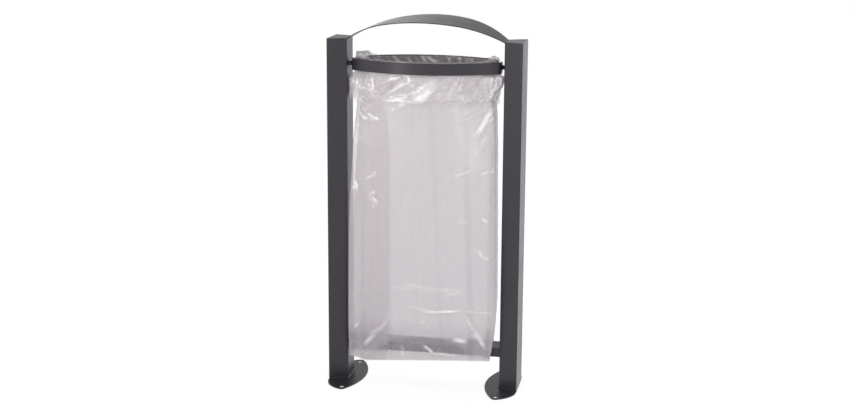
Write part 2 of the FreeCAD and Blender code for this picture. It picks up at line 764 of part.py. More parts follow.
def cuff_levels(size, thickness):
    """The cuff outside the ring, from the fold over the ring down to its flared and gathered hem.

    The thickness is the film's for the outer outline and nothing for the inner one.
    """
    fold = size["pivot_height"] + size["ring_rise"] + size["film_gap"]
    hem = fold - size["cuff_drop"]
    out = size["film_gap"] + size["cuff_ease"] + thickness
    side = ring_tab(size) + size["film_gap"] + thickness
    upper = ring_outline(size, side, out, CUFF_SHARES)
    flare = size["cuff_flare"]
    gathered = ring_outline(size, side + flare, out + flare, CUFF_SHARES, size["pleat_depth"])
    return [(fold + thickness, upper), (hem, gathered)]


def make_bag(doc, size):
    """Open bag hanging inside the ring, folded over its edge and down outside it."""
    body = new_body(doc, "bin_bag")
    wall = size["film_wall"]
    outer_cuff = cuff_levels(size, wall)
    inner_cuff = cuff_levels(size, as_size(0))
    bag_loft(body, "PartDesign::AdditiveLoft", "Cuff", outer_cuff)
    bag_loft(body, "PartDesign::SubtractiveLoft", "CuffInside", inner_cuff)
    fold = inner_cuff[0][0]
    hem = inner_cuff[-1][0]
    slot = Profile(body, "PivotSlots", "XY_Plane", hem)
    inner = ring_tab(size) - size["ring_bar"] / 2
    outer = ring_tab(size) + size["ring_gap"]
    half = size["cuff_slot"]
    slot.loop(box_corners(inner, outer, -half, half))
    slot.loop(box_corners(-outer, -inner, -half, half))
    pocket(body, "PivotSlotCut", slot, fold - hem, reverse=True)
    bag_loft(body, "PartDesign::AdditiveLoft", "Shell", bag_levels(size, as_size(0)))
    inside = bag_levels(size, wall)
    top_level, neck = inside[0]
    bottom_level, seal = inside[-1]
    inside[0] = (top_level + wall * 2, neck)
    inside[-1] = (bottom_level + wall, seal)
    bag_loft(body, "PartDesign::SubtractiveLoft", "Inside", inside)
    place(body)
    return body


def build():
    doc = FreeCAD.newDocument("BagHolder")
    size = make_sheet(doc)
    for side, turned in (("left", True), ("right", False)):
        make_post(doc, size, side + "_post", turned)
        make_cap(doc, size, side + "_post_cap", turned)
        make_ground_plate(doc, size, side + "_ground_plate", turned)
        make_pivot(doc, size, side, turned)
    make_roof(doc, size)
    make_crossbar(doc, size)
    make_ring(doc, size)
    make_strap(doc, size)
    make_bag(doc, size)
    doc.recompute()
    return doc


def check(doc):
    """Stops before anything is written if a feature failed or a solid isn't whole."""
    for item in doc.Objects:
        bad = [state for state in item.State if state in ("Invalid", "Error")]
        if bad:
            raise RuntimeError("%s (%s) is %s" % (item.Label, item.Name, ", ".join(bad)))
    for body in doc.findObjects("PartDesign::Body"):
        shape = body.Shape
        if shape.isNull() or not shape.isValid() or len(shape.Solids) != 1:
            raise RuntimeError("%s is not one valid solid" % body.Label)


def write(doc):
    os.makedirs("parts", exist_ok=True)
    for body in doc.findObjects("PartDesign::Body"):
        body.Shape.exportStep("parts/%s.step" % body.Label)
        box = body.Shape.BoundBox
        print("%-22s volume %10.0f  x %.1f..%.1f  y %.1f..%.1f  z %.1f..%.1f"
              % (body.Label, body.Shape.Volume, box.XMin, box.XMax,
                 box.YMin, box.YMax, box.ZMin, box.ZMax))


document = build()
check(document)
write(document)
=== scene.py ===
import math

import bmesh
import bpy
import numpy as np
from mathutils import Matrix, Vector, noise


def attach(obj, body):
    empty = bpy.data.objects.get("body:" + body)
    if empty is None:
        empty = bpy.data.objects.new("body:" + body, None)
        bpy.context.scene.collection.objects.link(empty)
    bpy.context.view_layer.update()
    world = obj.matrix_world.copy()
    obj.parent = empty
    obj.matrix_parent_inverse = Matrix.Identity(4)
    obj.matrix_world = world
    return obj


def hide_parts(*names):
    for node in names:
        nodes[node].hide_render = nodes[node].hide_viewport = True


MM = 0.001

# The photograph's camera, found from the edges of the posts: place and lens in millimetres, angles in degrees.
CAMERA_PLACE = (876.0, -4659.2, 1628.6)
CAMERA_YAW = 10.625
CAMERA_PITCH = 12.373
CAMERA_ROLL = 0.363
PICTURE_WIDTH = 854
FOCAL_PIXELS = 1512.0
SENSOR_WIDTH = 36.0

# The ring, the pivots and the posts, as the construction has them, in millimetres.
RING_MIDDLE_RADIUS = 339.4
RING_CENTRE = 236.0
RING_END = 225.0
RING_TOP = 1060.0
PIVOT_HEIGHT = 1039.0
POST_FACE = 250.0
POST_WIDTH = 60.0
POST_INNER_DEPTH = 82.0
POST_OUTER_DEPTH = 136.0
PLATE_TOP = 4.0

# The weld round the foot of each post, in millimetres: how far it reaches out and up, how far it stays inside
# the post's outer face, and how high and how long the welder's ripples are. The last is the cuts in its mesh.
WELD_LEG = 3.6
WELD_INSET = 0.8
RIPPLE_HEIGHT = 1.6
RIPPLE_SIZE = 5.0
WELD_CUTS = 24

# The bag's film, in millimetres: the way round it, its walls and gussets between the factory folds, its length,
# and how far its cuff hangs down.
FILM_ROUND = 1328.0
WALL = 482.0
LEFT_GUSSET = 272.0
RIGHT_GUSSET = 92.0
CUFF_DROP = 142.0
# Where the film lies inside and outside the ring's middle line, its openings at the pivots, and its gap
# to the posts.
FILM_INSIDE = -3.6
FILM_OUTSIDE = 3.4
PIVOT_OPENING = 13.0
POST_GAP = 2.5
# The heights between which the ring lets go of the body, inside it, and of the cuff, outside it.
BODY_HELD = 1020.0
BODY_FREE = 985.0
CUFF_HELD = 1022.0
CUFF_FREE = 1010.0

# How far apart the points of a plan lie, and the columns of the film's mesh on its front wall and on the rest.
PLAN_STEP = 4.0
FRONT_STEP = 3.0
OTHER_STEP = 6.0
# Which row of the body lies at which height, and the rows over the ring and down the cuff.
BODY_ROWS = (0, 50, 186, 232)
BODY_LEVELS = (80.0, 280.0, 880.0, RING_TOP)
FOLD_ROWS = 8
CUFF_ROWS = 44

# The film's haze: free, clinging to another layer, against the ring, over the ring's top edge, at the cuff's hem,
# on the crossbar, and over the crossbar's ends.
FREE_HAZE = 0.55
CLINGING_HAZE = 0.24
RING_HAZE = 0.46
EDGE_HAZE = 0.12
HEM_HAZE = 0.06
BAR_HAZE = 0.42
BOTTOM_HAZE = 0.72


def linear(code):
    """A colour written as #rrggbb, as the shader's linear numbers."""
    parts = [int(code[i:i + 2], 16) / 255 for i in (1, 3, 5)]
    return [c / 12.92 if c <= 0.04045 else ((c + 0.055) / 1.055) ** 2.4 for c in parts] + [1.0]


def add_node(tree, kind, settings=None, inputs=None):
    """Adds a node, sets its own settings, and gives each input a number or another node's output."""
    made = tree.nodes.new(kind)
    for name, value in (settings or {}).items():
        setattr(made, name, value)
    for name, value in (inputs or {}).items():
        socket = made.inputs[name]
        if isinstance(value, bpy.types.NodeSocket):
            tree.links.new(value, socket)
        else:
            socket.default_value = value
    return made


def new_material(name):
    """An empty node material, with its tree, its surface shader and the place on the piece."""
    material = bpy.data.materials.new(name)
    material.use_nodes = True
    tree = material.node_tree
    tree.nodes.clear()
    output = add_node(tree, "ShaderNodeOutputMaterial")
    shader = add_node(tree, "ShaderNodeBsdfPrincipled")
    tree.links.new(shader.outputs["BSDF"], output.inputs["Surface"])
    place = add_node(tree, "ShaderNodeTexCoord").outputs["Object"]
    return material, tree, shader, place


def per_metre(size):
    """The noise scale whose features are size millimetres across."""
    return 1.0 / (size * MM)


def powder_coat():
    """Polyester powder coat in anthracite: dark satin with the slight waviness of baked powder."""
    material, tree, shader, place = new_material("anthracite_powder_coat")
    peel = add_node(tree, "ShaderNodeTexNoise", None,
                    {"Vector": place, "Scale": per_metre(2.4), "Detail": 2.0, "Roughness": 0.45})
    handling = add_node(tree, "ShaderNodeTexNoise", None,
                        {"Vector": place, "Scale": per_metre(70.0), "Detail": 4.0, "Roughness": 0.6})
    tone = add_node(tree, "ShaderNodeMix", {"data_type": "RGBA"},
                    {"Factor": handling.outputs["Fac"], "A": linear("#28262b"), "B": linear("#302e34")})
    gloss = add_node(tree, "ShaderNodeMapRange", None,
                     {"Value": handling.outputs["Fac"], "From Min": 0.3, "From Max": 0.7,
                      "To Min": 0.30, "To Max": 0.38})
    bump = add_node(tree, "ShaderNodeBump", None,
                    {"Height": peel.outputs["Fac"], "Strength": 0.25, "Distance": 0.12 * MM})
    tree.links.new(tone.outputs["Result"], shader.inputs["Base Color"])
    tree.links.new(gloss.outputs["Result"], shader.inputs["Roughness"])
    tree.links.new(bump.outputs["Normal"], shader.inputs["Normal"])
    shader.inputs["IOR"].default_value = 1.5
    shader.inputs["Specular Tint"].default_value = linear("#f2edf4")
    return material


def black_oxide():
    """Black oxide on steel: near-black metal with a faint oily sheen and a fine turned grain."""
    material, tree, shader, place = new_material("black_oxide_steel")
    grain = add_node(tree, "ShaderNodeTexNoise", None,
                     {"Vector": place, "Scale": per_metre(1.2), "Detail": 3.0})
    tone = add_node(tree, "ShaderNodeMix", {"data_type": "RGBA"},
                    {"Factor": grain.outputs["Fac"], "A": linear("#2b2a2c"), "B": linear("#3d3c3f")})
    gloss = add_node(tree, "ShaderNodeMapRange", None,
                     {"Value": grain.outputs["Fac"], "To Min": 0.34, "To Max": 0.5})
    bump = add_node(tree, "ShaderNodeBump", None,
                    {"Height": grain.outputs["Fac"], "Strength": 0.2, "Distance": 0.05 * MM})
    tree.links.new(tone.outputs["Result"], shader.inputs["Base Color"])
    tree.links.new(gloss.outputs["Result"], shader.inputs["Roughness"])
    tree.links.new(bump.outputs["Normal"], shader.inputs["Normal"])
    shader.inputs["Metallic"].default_value = 1.0
    return material


def black_nylon():
    """Moulded nylon in black: a soft matt plastic with a faint moulding texture."""
    material, tree, shader, place = new_material("moulded_black_nylon")
    grain = add_node(tree, "ShaderNodeTexNoise", None,
                     {"Vector": place, "Scale": per_metre(0.9), "Detail": 2.0})
    tone = add_node(tree, "ShaderNodeMix", {"data_type": "RGBA"},
                    {"Factor": grain.outputs["Fac"], "A": linear("#19181a"), "B": linear("#232225")})
    bump = add_node(tree, "ShaderNodeBump", None,
                    {"Height": grain.outputs["Fac"], "Strength": 0.3, "Distance": 0.05 * MM})
    tree.links.new(tone.outputs["Result"], shader.inputs["Base Color"])
    tree.links.new(bump.outputs["Normal"], shader.inputs["Normal"])
    shader.inputs["Roughness"].default_value = 0.48
    shader.inputs["IOR"].default_value = 1.53
    return material


def zinc_plate():
    """Zinc-plated steel: pale blue-grey metal with cloudy spangles a few millimetres across."""
    material, tree, shader, place = new_material("zinc_plated_steel")
    spangle = add_node(tree, "ShaderNodeTexVoronoi", None, {"Vector": place, "Scale": per_metre(2.0)})
    tone = add_node(tree, "ShaderNodeMix", {"data_type": "RGBA"},
                    {"Factor": spangle.outputs["Distance"], "A": linear("#b9bec4"), "B": linear("#d3d6d9")})
    gloss = add_node(tree, "ShaderNodeMapRange", None,
                     {"Value": spangle.outputs["Distance"], "To Min": 0.25, "To Max": 0.4})
    tree.links.new(tone.outputs["Result"], shader.inputs["Base Color"])
    tree.links.new(gloss.outputs["Result"], shader.inputs["Roughness"])
    shader.inputs["Metallic"].default_value = 1.0
    return material


def clear_film():
    """Low-density polythene film, blown clear: a milky haze and a gloss, with white painted along its creases.

    The film carries four values of its own: how white it is painted along its creases and crinkles, partly its
    whitening and partly painted highlight; how finely it is crinkled, which also paints shade and highlight on its
    facets; how much painted shade greys it, along its folds, towards the bottom and over the crossbar; and its
    haze, which goes where the film lies close on what is behind it.
    """
    material, tree, shader, place = new_material("clear_polythene_film")
    drawn, crinkle, shade, haze = (add_node(tree, "ShaderNodeAttribute", {"attribute_name": name}).outputs["Fac"]
                                   for name in ("crease", "crinkle", "shade", "haze"))

    # Crinkled film: flat facets of about 14 mm, each painted a little lighter or darker as shade, with painted
    # highlights on the ridges between them. The same values also bump the surface.
    bend = add_node(tree, "ShaderNodeTexNoise", None,
                    {"Vector": place, "Scale": per_metre(26.0), "Detail": 4.0, "Roughness": 0.7})
    bent = add_node(tree, "ShaderNodeVectorMath", {"operation": "MULTIPLY_ADD"},
                    {0: bend.outputs["Color"], 1: (0.05, 0.05, 0.05), 2: place})
    facet = add_node(tree, "ShaderNodeTexVoronoi", None,
                     {"Vector": bent.outputs["Vector"], "Scale": per_metre(14.0)})
    ridge = add_node(tree, "ShaderNodeTexNoise", {"noise_type": "RIDGED_MULTIFRACTAL"},
                     {"Vector": bent.outputs["Vector"], "Scale": per_metre(30.0), "Detail": 2.0, "Roughness": 0.6})
    ridge_line = add_node(tree, "ShaderNodeMapRange", None,
                          {"Value": ridge.outputs["Fac"], "From Min": 0.55, "From Max": 1.0,
                           "To Min": -0.3, "To Max": 0.5})
    facet_tone = add_node(tree, "ShaderNodeMath", {"operation": "MULTIPLY_ADD"},
                          {0: facet.outputs["Color"], 1: 0.4, 2: ridge_line.outputs["Result"]})
    crease = add_node(tree, "ShaderNodeMath", {"operation": "MULTIPLY_ADD", "use_clamp": True},
                      {0: facet_tone.outputs["Value"], 1: crinkle, 2: drawn}).outputs["Value"]

    # Haze in clouds of about 90 mm, and die lines drawn down the film as it was blown, about 14 mm apart.
    cloud = add_node(tree, "ShaderNodeTexNoise", None,
                     {"Vector": place, "Scale": per_metre(90.0), "Detail": 3.0, "Roughness": 0.55})
    patchy = add_node(tree, "ShaderNodeMapRange", None,
                      {"Value": cloud.outputs["Fac"], "From Min": 0.3, "From Max": 0.7,
                       "To Min": -0.02, "To Max": 0.02})
    drawn_down = add_node(tree, "ShaderNodeVectorMath", {"operation": "MULTIPLY"},
                          {0: place, 1: (1.0, 1.0, 0.07)})
    die_lines = add_node(tree, "ShaderNodeTexNoise", None,
                         {"Vector": drawn_down.outputs["Vector"], "Scale": per_metre(14.0), "Detail": 3.0,
                          "Roughness": 0.6})
    lined = add_node(tree, "ShaderNodeMapRange", None,
                     {"Value": die_lines.outputs["Fac"], "From Min": 0.35, "From Max": 0.65,
                      "To Min": -0.02, "To Max": 0.02})
    cloudy = add_node(tree, "ShaderNodeMath", {"operation": "ADD"},
                      {0: lined.outputs["Result"], 1: patchy.outputs["Result"]})
    veil = add_node(tree, "ShaderNodeMath", {"operation": "ADD"}, {0: haze, 1: cloudy.outputs["Value"]})
    # The painted white on the creases also makes the film more opaque there.
    alpha = add_node(tree, "ShaderNodeMath", {"operation": "MULTIPLY_ADD", "use_clamp": True},
                     {0: crease, 1: 0.42, 2: veil.outputs["Value"]})

    # Painted shade greys the film along its folds, towards the bottom and over the crossbar; white is painted on
    # its creases, partly as whitening and partly as painted highlight.
    dim = add_node(tree, "ShaderNodeMix", {"data_type": "RGBA"},
                   {"Factor": shade, "A": linear("#ccc3c7"), "B": linear("#66667a")})
    tone = add_node(tree, "ShaderNodeMix", {"data_type": "RGBA"},
                    {"Factor": crease, "A": dim.outputs["Result"], "B": linear("#fdf9fb")})
    ripple = add_node(tree, "ShaderNodeTexNoise", None,
                      {"Vector": place, "Scale": per_metre(14.0), "Detail": 2.0, "Roughness": 0.5})
    height = add_node(tree, "ShaderNodeMath", {"operation": "MULTIPLY_ADD"},
                      {0: facet_tone.outputs["Value"], 1: crinkle, 2: ripple.outputs["Fac"]})
    bump = add_node(tree, "ShaderNodeBump", None,
                    {"Height": height.outputs["Value"], "Strength": 0.3, "Distance": 0.8 * MM})
    tree.links.new(tone.outputs["Result"], shader.inputs["Base Color"])
    tree.links.new(alpha.outputs["Value"], shader.inputs["Alpha"])
    tree.links.new(bump.outputs["Normal"], shader.inputs["Normal"])
    shader.inputs["Roughness"].default_value = 0.22
    shader.inputs["IOR"].default_value = 1.51
    shader.inputs["Coat Weight"].default_value = 1.0
    shader.inputs["Coat Roughness"].default_value = 0.1
    return material


def smooth(low, high, value):
    """0 at low, 1 at high, and a smooth step between. Low may be the greater of the two."""
    t = np.clip((value - low) / (high - low), 0.0, 1.0)
    return t * t * (3 - 2 * t)


def bell(value, middle, half_width):
    """1 at the middle, falling smoothly to 0 by about two half widths away."""
    return np.exp(-((value - middle) / half_width) ** 2)


# The bag's outline at each height, all in millimetres: half widths to the left and right, the front wall's corner
# and crown, the back wall's corner and crown, and how far each side gusset stays folded in.
HEIGHTS = (80, 110, 152, 215, 300, 450, 620, 790, 900, 960, 1003, 1062)
LEFT_HALF = (244, 246, 247, 247, 247, 247, 245, 236, 226, 222, 219, 215)
RIGHT_HALF = (220, 226, 233, 239, 242, 240, 236, 233, 229, 222, 219, 215)
FRONT_CORNER = (-56, -58, -60, -62, -62, -61, -56, -46, -34, -27, -22, -19)
FRONT_CROWN = (-53, -62, -72, -84, -93, -99, -100, -100, -100, -100, -99.5, -99.5)
BACK_CORNER = (-47, -46, -44, -36, -24, -8, 6, 12, 15, 17, 19, 19)
BACK_CROWN = (-46.5, -45, -43, -33, -18, 8, 35, 62, 80, 89, 96, 99.5)
LEFT_FOLD = (128, 134, 138, 140, 140, 140, 138, 128, 96, 60, 30, 4)
RIGHT_FOLD = (26, 28, 30, 32, 33, 34, 34, 33, 30, 22, 12, 4)

# Creases that the photograph shows: from and to (x, z), half width and height in millimetres, and whiteness,
# which is partly the film's whitening and partly painted highlight.
CUFF_CREASES = (
    (-34, 928, 66, 1010, 30, 6.0, 0.7),
    (-22, 934, 44, 984, 19, 4.0, 1.0),
    (-116, 955, -15, 1010, 7, 3.0, 0.7),
    (-136, 944, -60, 976, 9, 3.0, 0.25),
    (-124, 936, -28, 940, 8, 3.5, 0.95),
    (-100, 944, -30, 952, 6, 2.5, 0.6),
    (-34, 952, 34, 1004, 6, 2.5, 0.8),
    (6, 940, 60, 996, 5, 2.5, 0.7),
    (-60, 941, -10, 936, 9, 3.5, 0.7),
    (-3, 933, 24, 950, 6, 3.0, 0.75),
    (78, 934, 114, 1018, 15, 4.5, 0.5),
    (100, 948, 122, 1006, 5, 2.0, 0.4),
    (218, 1021, 209, 975, 6, 4.0, 0.8),
    (228, 1007, 224, 968, 5, 3.0, 0.6),
    (192, 1006, 205, 944, 6, 3.5, 0.5),
    (116, 966, 144, 932, 14, 4.0, 0.6),
    (118, 968, 124, 1012, 5, 2.5, 0.6),
    (128, 952, 138, 928, 5, 3.0, 0.6),
    (145, 978, 174, 1014, 5, 3.0, 0.45),
    (199, 932, 224, 976, 8, 4.0, 0.6),
    (-90, 978, -52, 1008, 6, 2.5, 0.3),
    (-139, 987, -78, 1006, 6, 2.5, 0.4),
    (12, 1006, 46, 1022, 7, 2.5, 0.35),
    (-158, 1020, -122, 1005, 6, 2.5, 0.35),
    (-231, 1006, -236, 968, 6, 3.0, 0.45),
    (-210, 1016, -216, 970, 6, 3.5, 0.5),
    (-191, 966, -144, 957, 5, 3.0, 0.5),
    (-175, 1014, -185, 980, 6, 3.0, 0.45),
    (-202, 936, -187, 917, 8, 3.0, 0.55),
)
WALL_CREASES = (
    (-212, 898, -184, 866, 7, 3.5, 0.75),
    (-196, 884, -178, 871, 5, 2.5, 0.6),
    (-180, 892, -141, 871, 8, 3.5, 0.8),
    (-172, 876, -152, 868, 5, 2.5, 0.5),
    (122, 877, 200, 915, 6, 3.0, 0.4),
    (216, 917, 170, 832, 15, 5.0, 1.0),
    (222, 890, 205, 868, 6, 3.0, 0.5),
    (199, 834, 186, 808, 8, 3.0, 0.55),
    (206, 826, 170, 770, 14, 3.0, 0.2),
    (104, 704, 158, 725, 10, 2.5, 0.4),
    (186, 710, 214, 721, 8, 2.5, 0.5),
    (212, 720, 236, 713, 8, 2.5, 0.45),
    (-182, 681, -148, 702, 10, 2.5, 0.4),
    (-223, 675, -213, 638, 9, 3.0, 0.55),
    (-232, 646, -216, 652, 7, 2.5, 0.5),
    (-172, 628, -150, 640, 9, 2.0, 0.3),
    (-168, 622, -139, 604, 10, 2.0, 0.3),
    (-160, 606, -150, 590, 8, 2.0, 0.25),
    (120, 560, 150, 556, 9, 2.0, 0.15),
    (191, 570, 208, 557, 7, 3.0, 0.75),
    (183, 467, 194, 443, 7, 3.0, 0.6),
    (192, 446, 217, 437, 7, 2.5, 0.5),
    (-86, 331, 136, 332, 12, 2.5, 0.16),
    (80, 318, 134, 327, 10, 2.5, 0.3),
    (-60, 345, 20, 338, 10, 2.0, 0.14),
    (12, 258, 130, 266, 6, 4.5, 1.0),
    (-40, 270, 60, 262, 6, 3.0, 0.3),
    (138, 266, 224, 260, 5, 2.5, 0.4),
    (-224, 185, -207, 206, 8, 2.5, 0.4),
    (-190, 128, -152, 172, 12, 4.0, 0.4),
    (-146, 176, -108, 222, 8, 3.0, 0.3),
    (-170, 168, -120, 196, 12, 3.0, 0.2),
    (148, 240, 172, 198, 9, 3.0, 0.4),
    (172, 204, 206, 140, 12, 4.0, 0.5),
    (160, 188, 196, 168, 8, 3.0, 0.35),
    (104, 166, 147, 162, 12, 2.5, 0.7),
    (8, 139, 38, 113, 9, 3.0, 0.85),
    (35, 115, 108, 109, 8, 2.5, 0.6),
    (-66, 136, -62, 94, 10, 2.0, 0.4),
    (0, 219, 14, 222, 9, 2.0, 0.3),
)
BACK_CREASES = (
    (-129, 1060, -101, 1033, 7, 3.0, 0.7),
    (-142, 1054, -132, 1034, 5, 3.0, 0.5),
    (-60, 1056, -44, 1036, 5, 3.0, 0.5),
    (84, 1054, 92, 1036, 5, 3.0, 0.4),
    (-123, 1058, -109, 1036, 4, 3.0, 0.6),
    (-82, 1050, -66, 1034, 5, 3.0, 0.65),
    (-38, 1060, -20, 1034, 10, 4.0, 0.8),
    (-22, 1059, 16, 1030, 9, 4.0, 1.0),
    (-8, 1048, 22, 1038, 7, 3.0, 0.6),
    (53, 1053, 57, 1034, 4, 3.0, 0.6),
    (108, 1038, 124, 1062, 5, 3.0, 0.55),
    (122, 1060, 136, 1042, 4, 3.0, 0.5),
    (170, 1058, 184, 1044, 6, 3.0, 0.7),
    (-184, 1056, -160, 1038, 8, 3.0, 0.5),
)

# Folds from when the bag was packed flat, down the front wall: x at the top and the bottom, half width,
# how far they stand out, and how much painted shade they lay along them.
PACKING_FOLDS = (
    (-192, -194, 10, 1.6, 0.10),
    (-112, -101, 9, 0.8, 0.10),
    (28, 66, 11, 1.6, 0.09),
    (134, 160, 15, 2.2, 0.20),
    (215, 212, 9, 1.6, 0.08),
)

# Where the wall lies close on the crossbar: the middle of that patch, and how far it reaches sideways and up.
PRESSED_MIDDLE = (4.0, 112.0)
PRESSED_REACH = (152.0, 58.0)


def outline_value(table, height):
    """The value of one of the outline tables at a height."""
    return float(np.interp(height, HEIGHTS, table))


def film_walls():
    """The film's stretches round the bag, from the middle of the front wall: how long each is, in millimetres."""
    return WALL / 2, RIGHT_GUSSET, WALL, LEFT_GUSSET, WALL / 2


def ways_round():
    """Each plan point's way round the film from the middle of the front wall, in millimetres."""
    return np.arange(int(FILM_ROUND / PLAN_STEP)) * PLAN_STEP


def column_ways():
    """Each column's way round the film: close together on the front wall, wider apart elsewhere."""
    half = WALL / 2
    front = np.arange(0.0, half, FRONT_STEP)
    rest = np.linspace(half, FILM_ROUND - half, int((FILM_ROUND - WALL) / OTHER_STEP))
    return np.concatenate([front, rest, FILM_ROUND - front[:0:-1]])


def on_columns(row):
    """A row of places at the plan's points, moved to the mesh's columns."""
    return np.column_stack([np.interp(column_ways(), ways_round(), part, period=FILM_ROUND)
                            for part in row.T])


def plan_through(corners):
    """A closed plan through the five corners' curves: each is a function of the share along its stretch."""
    plan = []
    stretches = film_walls()
    for way in ways_round():
        for length, curve in zip(stretches, corners):
            if way <= length:
                plan.append(curve(way / length))
                break
            way -= length
    return np.array(plan)


def ring_plan(offset):
    """The film's plan where it lies on the ring, offset outwards from the ring's middle line."""
    radius = RING_MIDDLE_RADIUS + offset
    end = RING_END + offset
    corner = RING_CENTRE - math.sqrt(radius ** 2 - end ** 2)
    swing = math.asin(end / radius)

    def arc(side, start, finish):
        """A front (-1) or back (1) arc between two shares of its half swing."""
        def curve(share):
            angle = (start + (finish - start) * share) * swing
            return radius * math.sin(angle), side * (radius * math.cos(angle) - RING_CENTRE)
        return curve

    def tab(side):
        """The straight end of the ring on one side."""
        return lambda share: (side * end, side * corner * (1 - 2 * share))

    return plan_through((arc(-1, 0, 1), tab(1), arc(1, 1, -1), tab(-1), arc(-1, -1, 0)))


def body_plan(height):
    """The plan of the bag's body at one height: two walls that bulge, and a gusset folded in at each side."""
    left = -outline_value(LEFT_HALF, height)
    right = outline_value(RIGHT_HALF, height)
    front = outline_value(FRONT_CORNER, height)
    front_crown = outline_value(FRONT_CROWN, height)
    back = outline_value(BACK_CORNER, height)
    back_crown = outline_value(BACK_CROWN, height)
    left_fold = outline_value(LEFT_FOLD, height)
    right_fold = outline_value(RIGHT_FOLD, height)

    def wall(crown, corner, start, finish):
        """A stretch of a bulging wall, between two places from its left corner (-1) to its right one (1)."""
        def curve(share):
            place = start + (finish - start) * share
            side = right if place > 0 else -left
            return place * side, crown + (corner - crown) * abs(place) ** 2.2
        return curve

    def gusset(edge, fold, start, finish):
        """A side gusset from one corner to the other, folded in at its middle."""
        def curve(share):
            inward = 1 - abs(2 * share - 1)
            return edge - math.copysign(fold * inward, edge), start + (finish - start) * share
        return curve

    return plan_through((wall(front_crown, front, 0, 1), gusset(right, right_fold, front, back),
                         wall(back_crown, back, 1, -1), gusset(left, left_fold, back, front),
                         wall(front_crown, front, -1, 0)))


def rounded(plan, reach):
    """A closed plan with its corners eased over reach millimetres of film."""
    waves = np.fft.fftfreq(len(plan), PLAN_STEP)
    soften = np.exp(-0.5 * (2 * math.pi * waves * reach) ** 2)[:, None]
    return np.real(np.fft.ifft(np.fft.fft(plan, axis=0) * soften, axis=0))


def outward(plan):
    """The plan's unit normals, pointing out of the bag."""
    step = np.roll(plan, -1, axis=0) - np.roll(plan, 1, axis=0)
    normal = np.stack([step[:, 1], -step[:, 0]], axis=1)
    return normal / np.maximum(np.linalg.norm(normal, axis=1, keepdims=True), 1e-6)


def wander(size, seed):
    """A smooth random value between about -1 and 1 for each column, changing over size millimetres."""
    return np.array([noise.noise(Vector((way / size, seed, 0.37 * seed))) for way in ways_round()]) * 1.6


def bunch_height(plan):
    """How far the gathered film stands above the ring, column by column: high at the ends, more on the left."""
    x = plan[:, 0]
    bunch = 18.0 * bell(x, -206.0, 24.0) + 8.0 * bell(x, -228.0, 14.0) + 9.0 * bell(x, 210.0, 24.0)
    height = bunch * (0.8 + 0.3 * wander(15.0, 3.7) + 0.2 * wander(6.0, 5.1))
    return np.maximum(height + 0.5 + 0.8 * np.abs(wander(50.0, 8.1)), 0.6)


def seal_height(x):
    """The height of the bag's lower edge, which hangs a little askew, with its left corner turned up."""
    return np.where(x < -187, 72 + (-187 - x) * 0.27, 72 + (x + 187) * 0.058)


def cuff_bulge(plan, level):
    """How far the cuff stands out from the ring at a height: it flares to the posts where the film is gathered."""
    x, y = plan.T
    facing = smooth(30.0, -10.0, y)
    left = smooth(-150.0, -212.0, x) * smooth(1022.0, 992.0, level) * (0.3 + 0.7 * facing)
    right = smooth(168.0, 216.0, x) * smooth(1022.0, 1012.0, level) * smooth(950.0, 1010.0, level)
    return 2.5 * smooth(1018.0, 975.0, level) + 20.0 * left + 17.0 * right * (0.4 + 0.6 * facing)


def film_points():
    """Every row of the film: the body from its seal up, over the ring, and the cuff down outside."""
    inner = ring_plan(FILM_INSIDE)
    outer = ring_plan(FILM_OUTSIDE)
    middle = ring_plan(0.0)
    rise = bunch_height(middle)
    across = outward(middle)
    rows = []
    for level in np.interp(range(BODY_ROWS[-1]), BODY_ROWS, BODY_LEVELS):
        reach = float(np.interp(level, (80, 200, 400, 700, 950, 1062), (2, 4, 6, 8, 8, 5)))
        plan = rounded(body_plan(level), reach)
        hug = smooth(915, 1024, level)
        plan = plan * (1 - hug) + inner * hug
        height = level + (seal_height(plan[:, 0]) - 80.0) * smooth(330, 80, level)
        rows.append(np.column_stack([plan, height]))
    for row in range(1, FOLD_ROWS + 1):
        angle = math.pi * row / (FOLD_ROWS + 1)
        offset = FILM_INSIDE + (FILM_OUTSIDE - FILM_INSIDE) * (1 - math.cos(angle)) / 2
        rows.append(np.column_stack([middle + across * offset, RING_TOP + rise * math.sin(angle) ** 0.6]))
    x = outer[:, 0]
    drop = CUFF_DROP + 5.0 * wander(120.0, 11.3) + 4.0 * wander(26.0, 2.9) - 9.0 * bell(x, -228.0, 14.0)
    for row in range(CUFF_ROWS):
        level = RING_TOP - drop * row / (CUFF_ROWS - 1)
        rows.append(np.column_stack([outer + outward(outer) * cuff_bulge(outer, level)[:, None], level]))
    return np.array([on_columns(row) for row in rows])


def crease_push(creases, x, z):
    """How far these creases push the film out at a place, and how white they leave it: partly whitening, partly
    painted highlight.
    """
    push = np.zeros_like(x)
    white = np.zeros_like(x)
    for x0, z0, x1, z1, half, high, bright in creases:
        run = np.array([x1 - x0, z1 - z0], float)
        length = np.linalg.norm(run)
        run /= length
        along = ((x - x0) * run[0] + (z - z0) * run[1]) / length
        away = np.abs((x - x0) * run[1] - (z - z0) * run[0])
        ends = np.clip(np.minimum(along + 0.15, 1.15 - along) / 0.4, 0, 1)
        push += high * np.clip(1 - away / half, 0, 1) * ends
        white = np.maximum(white, bright * np.clip(1.7 - 1.7 * away / (half * 0.8), 0, 1) * ends)
    return push, white


def packing_folds(x, z):
    """How far the old packing folds stand out at a place, and how much painted shade they lay on it."""
    push = np.zeros_like(x)
    dark = np.zeros_like(x)
    for top, bottom, half, high, depth in PACKING_FOLDS:
        away = np.abs(x - top - (bottom - top) * np.clip((1000 - z) / 800, 0, 1))
        push += high * np.clip(1 - away / (half * 3), 0, 1)
        dark = np.maximum(dark, depth * smooth(half * 1.3, 0.0, away))
    return push, dark


